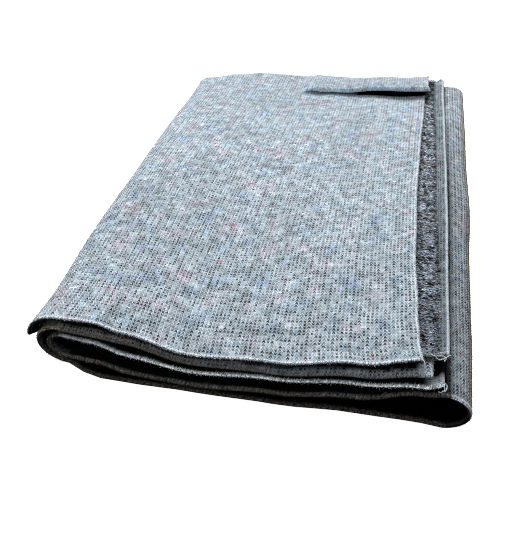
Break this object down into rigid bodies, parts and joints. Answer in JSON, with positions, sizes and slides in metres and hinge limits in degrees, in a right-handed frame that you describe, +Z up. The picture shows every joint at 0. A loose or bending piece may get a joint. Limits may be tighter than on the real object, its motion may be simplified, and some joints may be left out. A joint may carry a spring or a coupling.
{
  "type": "moving blanket",
  "caption": "Grey stitch-bonded felt moving blanket, one sheet folded back and forth into a flat oblong bundle with open layer ends and soft rounded folds.",
  "frame": {"origin": "on the surface that the bundle rests on, under the middle of its bounding box", "axes": "+Z up; +Y along the bundle's depth, away from the open layer ends; +X across it, towards the free edges and the open loop"},
  "size_m": [0.4098, 0.6288, 0.077],
  "materials": {
    "grey_felt": "matt, fuzzy"
  },
  "bodies": {
    "root": {"blanket": "grey_felt"}
  },
  "joints": []
}
